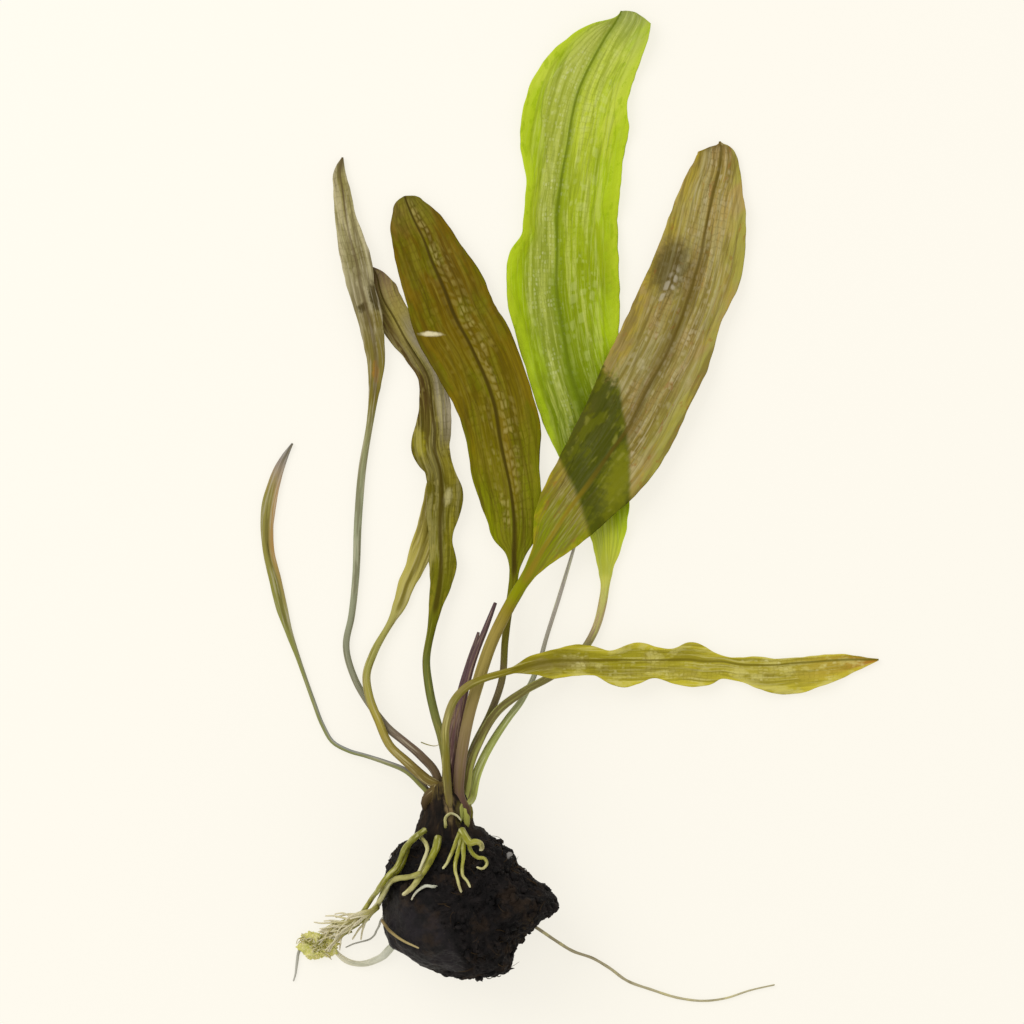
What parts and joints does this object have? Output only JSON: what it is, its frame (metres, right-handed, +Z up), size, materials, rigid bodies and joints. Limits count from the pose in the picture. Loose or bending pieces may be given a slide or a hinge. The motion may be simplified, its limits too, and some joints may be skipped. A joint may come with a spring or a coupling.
{
  "type": "bare-root madagascar lace plant",
  "caption": "Aquatic lace plant without a pot, laid flat: strap leaves on long stalks fan out from a tuber crown set in a plug of dark soil with trailing roots.",
  "frame": {"origin": "centre of the footprint's bounding box, on the surface that the plant lies on", "axes": "+Y along the plant from the soil plug to the leaf tips, +Z up from the surface, +X to the right seen from above"},
  "size_m": [0.1729, 0.2772, 0.0423],
  "materials": {
    "leaf_green": "thin translucent leaf, satin",
    "leaf_tan_olive": "thin translucent leaf, satin",
    "leaf_dark_olive": "thin translucent leaf, satin",
    "leaf_khaki": "thin translucent leaf, satin",
    "leaf_olive": "thin translucent leaf, satin",
    "leaf_yellow_olive": "thin translucent leaf, satin",
    "leaf_brown": "thin translucent leaf, satin",
    "stalk_grey_green": "smooth wet stalk",
    "stalk_purple": "smooth wet stalk",
    "tuber_skin": "rough fibrous skin",
    "wet_soil": "moist crumbly soil",
    "root_green": "smooth wet root",
    "root_pale": "smooth wet root",
    "root_tan": "dry thin root",
    "root_grey": "dry thin root"
  },
  "bodies": {
    "root": {"leaf_tall_green": "leaf_green", "leaf_brown_right": "leaf_tan_olive", "leaf_brown_left": "leaf_dark_olive", "leaf_khaki_upper": "leaf_khaki", "leaf_twisted": "leaf_olive", "leaf_short_behind": "leaf_olive", "leaf_wavy_side": "leaf_yellow_olive", "leaf_narrow_left": "leaf_brown", "stalk_bare": "stalk_grey_green", "stub_long": "stalk_purple", "stub_short": "stalk_purple", "tuber_crown": "tuber_skin", "soil_clod": "wet_soil", "root_left_middle": "root_green", "root_left_inner": "root_pale", "root_left_outer": "root_green", "root_left_cross": "root_pale", "root_left_upper": "root_green", "root_arch": "root_pale", "root_thin_grey": "root_grey", "root_far_left": "root_tan", "root_tan": "root_tan", "root_white_hook": "root_pale", "root_front_curl": "root_pale", "root_front_long": "root_green", "root_front_mid": "root_green", "root_front_right": "root_green", "root_front_hook": "root_green", "root_front_short": "root_green", "root_long_right": "root_tan"}
  },
  "joints": []
}
